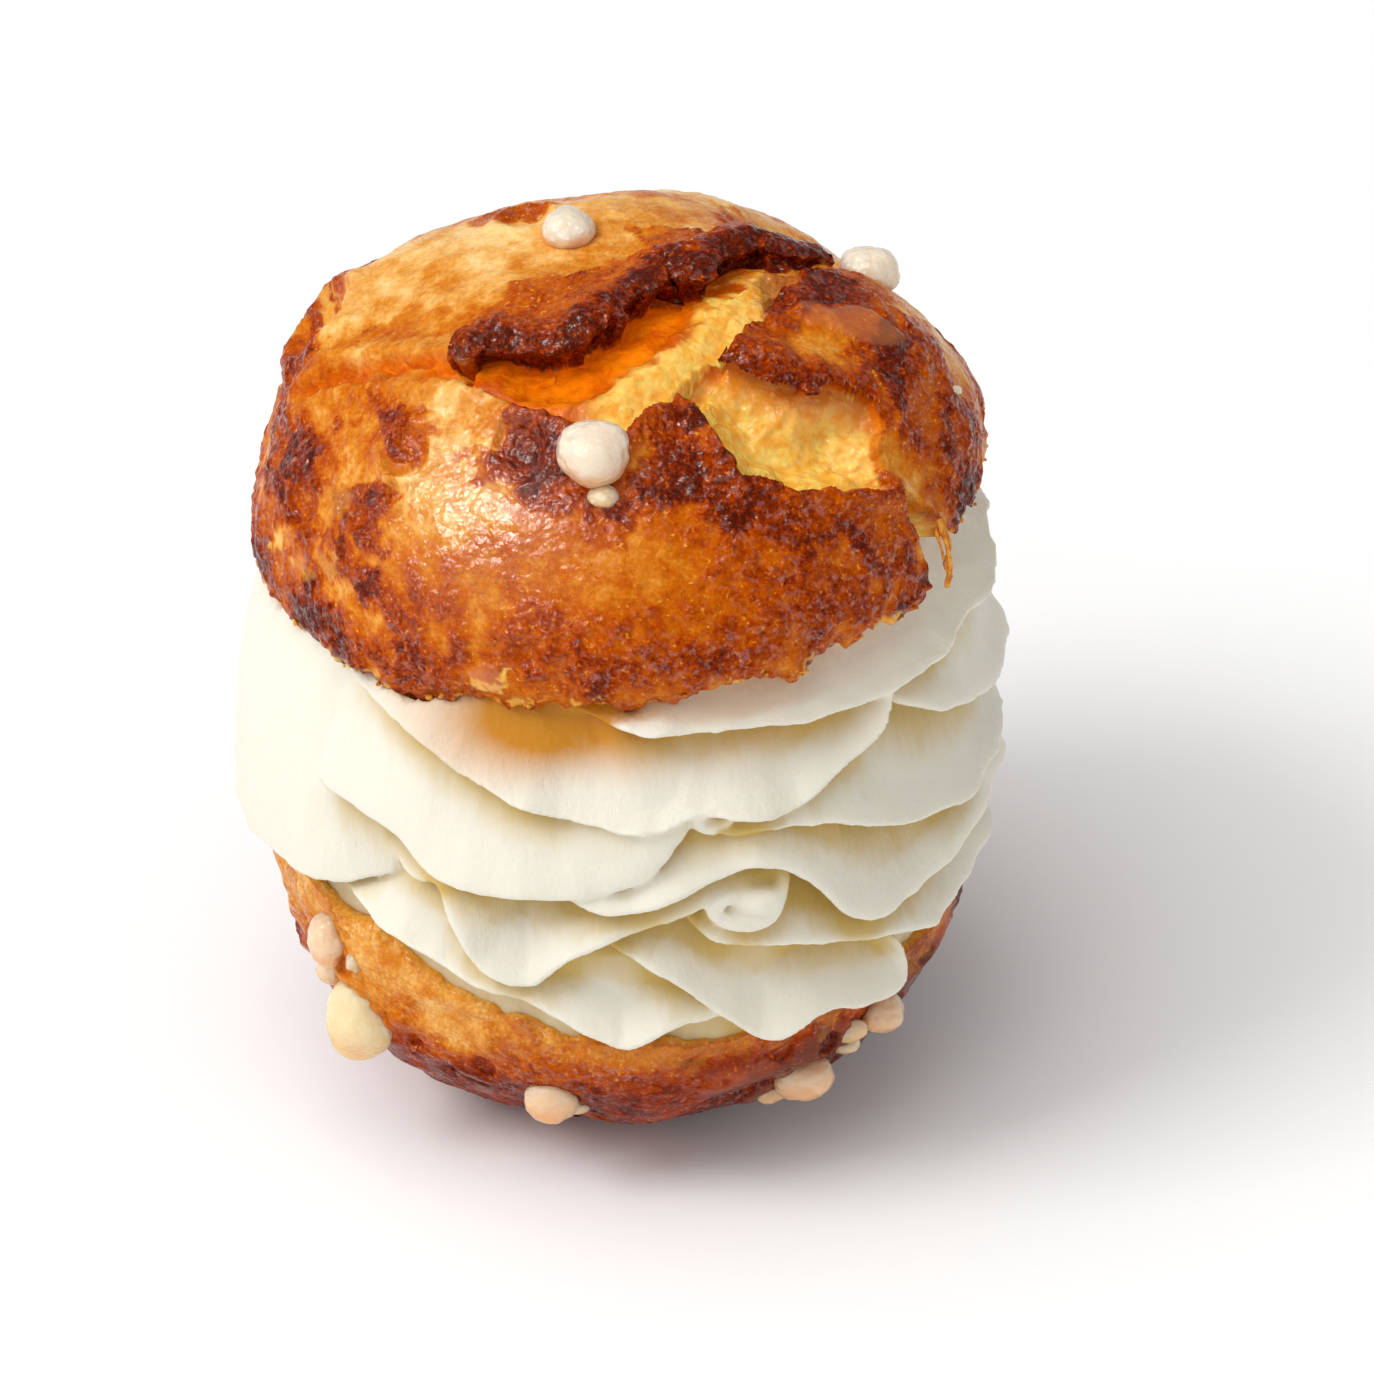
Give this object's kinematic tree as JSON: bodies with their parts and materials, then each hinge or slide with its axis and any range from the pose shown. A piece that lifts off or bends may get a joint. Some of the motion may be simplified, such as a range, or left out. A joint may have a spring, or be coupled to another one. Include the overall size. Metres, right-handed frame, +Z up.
{
  "type": "cream puff",
  "caption": "Choux bun cut in two around thick ruffled folds of piped whipped cream, its cracked golden crust dotted with sugar nibs.",
  "frame": {"origin": "middle of the puff's footprint box, on the surface it stands on", "axes": "+Z up from base to cap; -Y is the front, where the window and the front sugar nib are; +X is the puff's right as seen from the front"},
  "size_m": [0.0602, 0.0598, 0.0722],
  "materials": {
    "choux_crust": "browned egg-washed choux crust, glossy in patches",
    "whipped_cream": "soft satin whipped cream",
    "pearl_sugar": "translucent half-melted sugar"
  },
  "bodies": {
    "root": {"choux_cap": "choux_crust", "cream_filling": "whipped_cream", "choux_base": "choux_crust", "sugar_cap_front": "pearl_sugar", "sugar_cap_top": "pearl_sugar", "sugar_cap_right": "pearl_sugar", "sugar_cap_back": "pearl_sugar", "sugar_base_left_drop": "pearl_sugar", "sugar_base_left_upper": "pearl_sugar", "sugar_base_front": "pearl_sugar", "sugar_base_right": "pearl_sugar", "sugar_base_right_upper": "pearl_sugar", "sugar_base_back_left": "pearl_sugar", "sugar_base_back_right": "pearl_sugar"}
  },
  "joints": []
}
